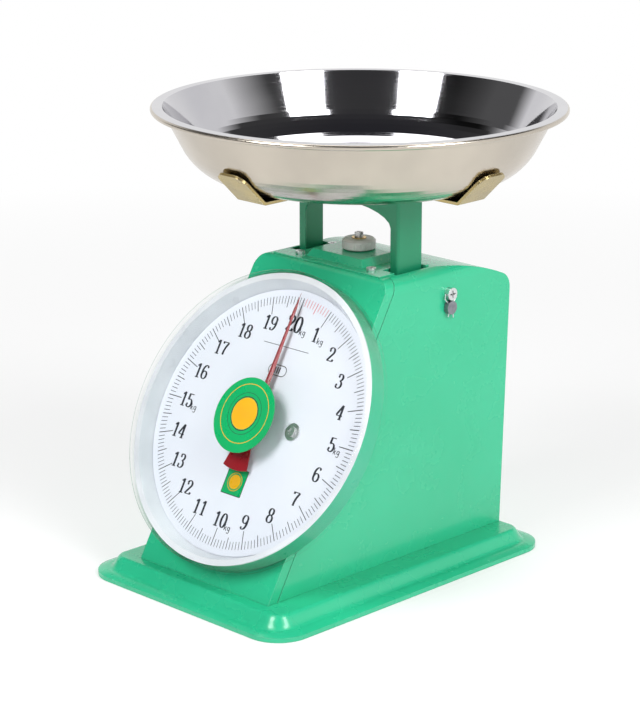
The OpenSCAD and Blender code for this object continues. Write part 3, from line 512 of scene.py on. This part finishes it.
FULL_KG = 20
STEPS_PER_KG = 10
TICK_OUT = PLATE_R / MM - 4.6
FIGURE_R = TICK_OUT - 18.4
# length and width of the ticks at whole kilograms, at half kilograms and between
LONG_TICK, HALF_TICK, SHORT_TICK = (12.5, 0.6), (8.0, 0.55), (5.4, 0.42)
FIGURE_HEIGHT, TOP_FIGURE_HEIGHT, UNIT_HEIGHT = 10.0, 11.6, 4.6
MARK_UP = 36.5
RULE_UP, RULE_HALF = 53.0, 21.0
LABEL_LOW, LABEL_HIGH, LABEL_HALF = -52.0, -34.0, 9.0
STICKER_DISC_UP = 1.0


def clock(radius, turn):
    """Point at a share of a full clockwise turn from the top."""
    a = 2 * math.pi * turn
    return radius * math.sin(a), radius * math.cos(a)


def print_dial():
    """Ticks, the figures at each kilogram, the class mark, a rule and the small label below the centre."""
    level = PLATE_LEVEL + 0.03 * MM
    dark = Print("dial_print_dark", level, "ink_dark", "white_enamel")
    red = Print("dial_print_red", level, "ink_red", "white_enamel")
    count = FULL_KG * STEPS_PER_KG
    for i in range(count):
        step = i % STEPS_PER_KG
        length, width = LONG_TICK if step == 0 else HALF_TICK if step == STEPS_PER_KG // 2 else SHORT_TICK
        sheet = red if 0 < i < STEPS_PER_KG else dark
        sheet.bar(clock(TICK_OUT, i / count), clock(TICK_OUT - length, i / count), width)
    for kg in range(1, FULL_KG + 1):
        x, y = clock(FIGURE_R, kg / FULL_KG)
        height = TOP_FIGURE_HEIGHT if kg == FULL_KG else FIGURE_HEIGHT
        write(dark, str(kg), x, y, height)
        if kg == 1 or kg % 5 == 0:
            side = 0.28 * height * len(str(kg)) + 2.8
            write(dark, "kg", x + side, y - height * 0.36, UNIT_HEIGHT, 0.14, 0.10)
    # accuracy-class mark: three bars in an oval, and above it a thin rule
    for s in (-1, 0, 1):
        dark.bar((s * 2.0, MARK_UP - 2.2), (s * 2.0, MARK_UP + 2.2), 0.95)
    ends = oval(4.6, MARK_UP, 3.6, 3.6, -90, 90, 12) + oval(-4.6, MARK_UP, 3.6, 3.6, 90, 270, 12)
    dark.stroke(ends + [ends[0]], lambda d: 0.6)
    dark.bar((-RULE_HALF, RULE_UP), (RULE_HALF, RULE_UP), 0.4)
    dark.build()
    red.build()
    print_label(level)


def label_corners(inset=0.0):
    """The small label's corners, pulled in by inset."""
    low, high, half = LABEL_LOW + inset, LABEL_HIGH - inset, LABEL_HALF - inset
    return [(-half, low), (half, low), (half, high), (-half, high)]


def print_label(level):
    """A green panel with a thin dark border and a plain yellow disc."""
    panel = Print("dial_label_green", level, "sticker_green", "sticker")
    panel.shape(label_corners())
    panel.shape(label_corners(1.0))
    panel.build()
    border = Print("dial_label_border", level + 0.02 * MM, "ink_dark", "white_enamel")
    corners = label_corners()
    for a, b in zip(corners, corners[1:] + corners[:1]):
        border.bar(a, b, 0.5)
    border.build()
    middle = (0, (LABEL_LOW + LABEL_HIGH) / 2)
    spot = Print("dial_label_spot", level + 0.08 * MM, "sticker_yellow", "sticker")
    spot.disc(middle, 5.0, 40)
    spot.ring(middle, 6.2, 0.5)
    spot.build()


def print_sticker():
    """The round green sticker on the lens carries a plain yellow disc and thin rings."""
    level = STICKER_LEVEL + 0.02 * MM
    face = Print("sticker_disc", level, "sticker_yellow", "sticker")
    face.disc((0, STICKER_DISC_UP), 11.0, 64)
    face.ring((0, STICKER_DISC_UP), 20.5, 0.5)
    face.build()
    line = Print("sticker_ring", level + 0.01 * MM, "ink_dark", "sticker")
    line.ring((0, STICKER_DISC_UP), 11.6, 0.6)
    line.ring((0, STICKER_DISC_UP), 14.4, 0.3)
    line.build()


# ---------------------------------------------------------------- pieces that stand for CAD nodes


def put(name, verts, faces, material, slot, smooth=False):
    mesh = bpy.data.meshes.new(name)
    mesh.from_pydata(verts, [], faces)
    mesh.materials.append(MATS[material])
    mesh.validate()
    obj = bpy.data.objects.new(name, mesh)
    bpy.context.scene.collection.objects.link(obj)
    for face in mesh.polygons:
        face.use_smooth = smooth
    return obj


def loft(rings, closed_ends=True):
    """Faces that join equal rings of points one after another."""
    n = len(rings[0])
    verts = [p for ring in rings for p in ring]
    faces = []
    for i in range(len(rings) - 1):
        for j in range(n):
            k = (j + 1) % n
            faces.append((i * n + j, i * n + k, (i + 1) * n + k, (i + 1) * n + j))
    if closed_ends:
        faces.append(tuple(range(n - 1, -1, -1)))
        faces.append(tuple((len(rings) - 1) * n + j for j in range(n)))
    return verts, faces


def crossing(a, b, at):
    """Smooth step from 0 at a to 1 at b."""
    t = min(max((at - a) / (b - a), 0.0), 1.0)
    return t * t * (3 - 2 * t)


def pointer():
    """A pressed needle with a ridge and a leaf-shaped tip, and a flat round boss with its tail weight."""
    ups = [(v.co - DIAL_CENTRE).dot(DIAL_UP) / MM for v in frame["nodes"]["pointer"].data.vertices]
    tip, tail = max(ups), -min(ups)
    low = level_of("pointer", top=False) / MM
    high = level_of("pointer") / MM
    boss = 9.0
    wide, slim, leaf_length = 3.0, 1.1, 20.0

    def half_width(u):
        shank = wide + (slim - wide) * (u - boss) / (tip - leaf_length - boss)
        leaf = 0.8 * math.sin(math.pi * crossing(tip - leaf_length - 4, tip, u)) ** 1.2
        return max(0.08, (shank if u < tip - leaf_length else slim * (tip - u) / leaf_length) + leaf)

    rings = []
    for i in range(41):
        u = boss * 0.5 + (tip - boss * 0.5) * i / 40
        w = half_width(u)
        rings.append([on_dial(x * MM, u * MM, z * MM) for x, z in
                      ((-w, low + 0.35), (0, low + 0.05), (w, low + 0.35), (0, low + 0.35 + w * 0.3))])
    needle = put("pointer_needle", *loft(rings), "red_paint", "red_paint")
    root, spread = math.radians(58), math.radians(18)
    side_angles = [math.pi / 2 - (math.pi / 2 + root) * i / 16 for i in range(17)]
    tail_angles = [spread - 2 * spread * i / 10 for i in range(11)]
    right = [(boss * math.cos(a), boss * math.sin(a)) for a in side_angles]
    bottom = [(tail * math.sin(a), -tail * math.cos(a)) for a in tail_angles]
    outline = right + bottom + [(-x, y) for x, y in reversed(right)][:-1]
    plate_rings = []
    for inset, z in ((0.35, low), (0.0, low + 0.25), (0.0, high - 0.25), (0.35, high)):
        ring = []
        for x, y in outline:
            pull = 1 - inset / max(math.hypot(x, y), 1e-6)
            ring.append(on_dial(x * pull * MM, y * pull * MM, z * MM))
        plate_rings.append(ring)
    plate = put("pointer_boss_and_tail", *loft(plate_rings), "red_paint", "red_paint")
    for obj in (needle, plate):
        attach(obj, "pointer_arbor")
    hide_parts("pointer")


SPRING_WIRE_R, SPRING_HOOK_R, SPRING_TURNS = 1.3 * MM, 7.0 * MM, 8
STEPS_PER_TURN = 32
# the upper eye sits in the middle of its hole, so the hanger can be trimmed a millimetre either way
SPRING_EYE_LIFT = 1.6 * MM


def spring(node):
    """Round wire: an open hook at each end and close coils that fan out from the axis near the hooks."""
    low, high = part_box(node)
    axis_x, axis_y = (low.x + high.x) / 2, (low.y + high.y) / 2
    wire, hook = SPRING_WIRE_R, SPRING_HOOK_R
    coil = (high.x - low.x) / 2 - wire
    top_hook, low_hook = high.z - wire - hook + SPRING_EYE_LIFT, low.z + wire + hook
    path = []
    for i in range(25):
        a = math.radians(190 - 250 * i / 24)
        path.append(Vector((0, hook * math.cos(a), top_hook + hook * math.sin(a))))
    steps = STEPS_PER_TURN * SPRING_TURNS
    for i in range(1, steps):
        u = i / steps
        r = coil * min(1, 8 * u, 8 * (1 - u))
        a = 2 * math.pi * SPRING_TURNS * u
        z = top_hook - hook + (low_hook - top_hook + 2 * hook) * u
        path.append(Vector((r * math.sin(a), r * math.cos(a), z)))
    for i in range(25):
        a = math.radians(60 - 250 * i / 24)
        path.append(Vector((0, hook * math.cos(a), low_hook + hook * math.sin(a))))
    round_angles = [2 * math.pi * j / 10 for j in range(10)]
    rings, side = [], None
    for i, point in enumerate(path):
        along = (path[min(i + 1, len(path) - 1)] - path[max(i - 1, 0)]).normalized()
        side = side - along * side.dot(along) if side else along.cross(Vector((1, 0, 0)))
        side.normalize()
        other = along.cross(side)
        here = point + Vector((axis_x, axis_y, 0))
        rings.append([here + (side * math.cos(a) + other * math.sin(a)) * wire for a in round_angles])
    obj = put(node + "_wire", *loft(rings), "spring_steel", "spring_steel", smooth=True)
    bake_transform(obj)
    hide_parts(node)


# ---------------------------------------------------------------- studio


def heading(azimuth, elevation):
    """A direction from the object. Azimuth 0 is its front and grows towards its right-hand side."""
    level = math.cos(elevation)
    return Vector((math.sin(azimuth) * level, -math.cos(azimuth) * level, math.sin(elevation)))


def area_light(name, place, target, size, power):
    data = bpy.data.lights.new(name, "AREA")
    data.shape = "RECTANGLE"
    data.size, data.size_y = size
    data.energy = power
    obj = bpy.data.objects.new(name, data)
    bpy.context.scene.collection.objects.link(obj)
    obj.location = place
    obj.rotation_mode = "QUATERNION"
    obj.rotation_quaternion = (Vector(target) - Vector(place)).to_track_quat("-Z", "Y")


SHADE_AZ = math.radians(-36)


def world_light():
    """White to the camera. To everything else, a white room with a dark ceiling band and one dark side."""
    world = bpy.data.worlds.new("studio")
    bpy.context.scene.world = world
    world.use_nodes = True
    tree = world.node_tree
    tree.nodes.clear()
    new = tree.nodes.new
    out = new("ShaderNodeOutputWorld")
    plainly = new("ShaderNodeBackground")
    plainly.inputs["Color"].default_value = (1, 1, 1, 1)
    room = new("ShaderNodeBackground")
    coords = new("ShaderNodeTexCoord")
    split = new("ShaderNodeSeparateXYZ")
    tree.links.new(coords.outputs["Generated"], split.inputs[0])
    ramp = new("ShaderNodeValToRGB")
    tree.links.new(split.outputs["Z"], ramp.inputs[0])
    stops = ramp.color_ramp.elements
    stops[0].position, stops[0].color = 0.0, (1.0, 1.0, 1.0, 1)
    stops[1].position, stops[1].color = 1.0, (0.03, 0.03, 0.035, 1)
    for place, shade in ((0.46, 0.95), (0.60, 0.06)):
        stop = stops.new(place)
        stop.color = (shade, shade, shade, 1)
    # the side of the room to the camera's left is in shade
    aside = new("ShaderNodeVectorMath")
    aside.operation = "DOT_PRODUCT"
    tree.links.new(coords.outputs["Generated"], aside.inputs[0])
    aside.inputs[1].default_value = (math.sin(SHADE_AZ), -math.cos(SHADE_AZ), 0)
    shade = new("ShaderNodeMapRange")
    tree.links.new(aside.outputs["Value"], shade.inputs["Value"])
    for socket, value in (("From Min", 0.58), ("From Max", 0.72), ("To Min", 1.0), ("To Max", 0.12)):
        shade.inputs[socket].default_value = value
    shaded = new("ShaderNodeVectorMath")
    shaded.operation = "SCALE"
    tree.links.new(ramp.outputs[0], shaded.inputs[0])
    tree.links.new(shade.outputs[0], shaded.inputs["Scale"])
    tree.links.new(shaded.outputs[0], room.inputs["Color"])
    room.inputs["Strength"].default_value = 1.0
    path = new("ShaderNodeLightPath")
    blend = new("ShaderNodeMixShader")
    tree.links.new(path.outputs["Is Camera Ray"], blend.inputs[0])
    tree.links.new(room.outputs[0], blend.inputs[1])
    tree.links.new(plainly.outputs[0], blend.inputs[2])
    tree.links.new(blend.outputs[0], out.inputs["Surface"])


def floor():
    """Pale paper that keeps a soft shadow near the scale and fades into the white background."""
    mesh = bpy.data.meshes.new("floor")
    reach = 6.0
    corners = [(-reach, -reach, 0), (reach, -reach, 0), (reach, reach, 0), (-reach, reach, 0)]
    mesh.from_pydata(corners, [], [(0, 1, 2, 3)])
    obj = bpy.data.objects.new("floor", mesh)
    bpy.context.scene.collection.objects.link(obj)
    f = Finish("floor_paper", roughness=0.9)
    f.colour(f.mix(f.spread(f.noise(3, 2), 0.3, 0.7), (0.90, 0.90, 0.90, 1), (0.92, 0.92, 0.92, 1)))
    glow = f.add("ShaderNodeEmission")
    length = f.add("ShaderNodeVectorMath", operation="LENGTH")
    f.join(f.place, length.inputs[0])
    mixed = f.add("ShaderNodeMixShader")
    f.feed(mixed.inputs[0], f.spread(length.outputs["Value"], 0.25, 1.2, 0.45, 1.0))
    f.join(f.bsdf.outputs[0], mixed.inputs[1])
    f.join(glow.outputs[0], mixed.inputs[2])
    f.join(mixed.outputs[0], f.out.inputs["Surface"])
    mesh.materials.append(f.mat)
    obj.location.z = -0.0002


VIEW_AZ, VIEW_EL = math.radians(44.85), math.radians(16.25)
VIEW_DISTANCE = 1.7008
VIEW_HEIGHT = 0.1485
VIEW_LENS, SENSOR_WIDTH = 141.5, 36
LIGHT_CENTRE = Vector((0, 0, 0.15))
# name, azimuth and elevation in degrees, distance in metres, size in metres, watts
LIGHTS = (
    ("key_right", 89, 40, 1.6, (0.59, 1.0), 19),
    ("key_left", -3, 42, 1.6, (0.60, 0.9), 19),
    ("back_top", 225, 62, 1.8, (1.2, 0.8), 9),
)


def camera():
    """At the viewing angle of the reference, with a long lens."""
    target = Vector((0, FOOT_MIDDLE_Y, VIEW_HEIGHT))
    back = heading(VIEW_AZ, VIEW_EL)
    data = bpy.data.cameras.new("camera")
    data.sensor_fit = "HORIZONTAL"
    data.sensor_width = SENSOR_WIDTH
    data.lens = VIEW_LENS
    obj = bpy.data.objects.new("camera", data)
    bpy.context.scene.collection.objects.link(obj)
    obj.location = target + back * VIEW_DISTANCE
    obj.rotation_mode = "QUATERNION"
    obj.rotation_quaternion = (-back).to_track_quat("-Z", "Y")
    bpy.context.scene.camera = obj


def studio():
    world_light()
    floor()
    for name, azimuth, elevation, distance, size, power in LIGHTS:
        away = heading(math.radians(azimuth), math.radians(elevation))
        area_light(name, LIGHT_CENTRE + away * distance, LIGHT_CENTRE, size, power)
    bpy.context.scene.view_settings.view_transform = "Standard"


finish_cad_nodes()
pointer()
spring("spring_left")
spring("spring_right")
print_dial()
print_sticker()
studio()
camera()
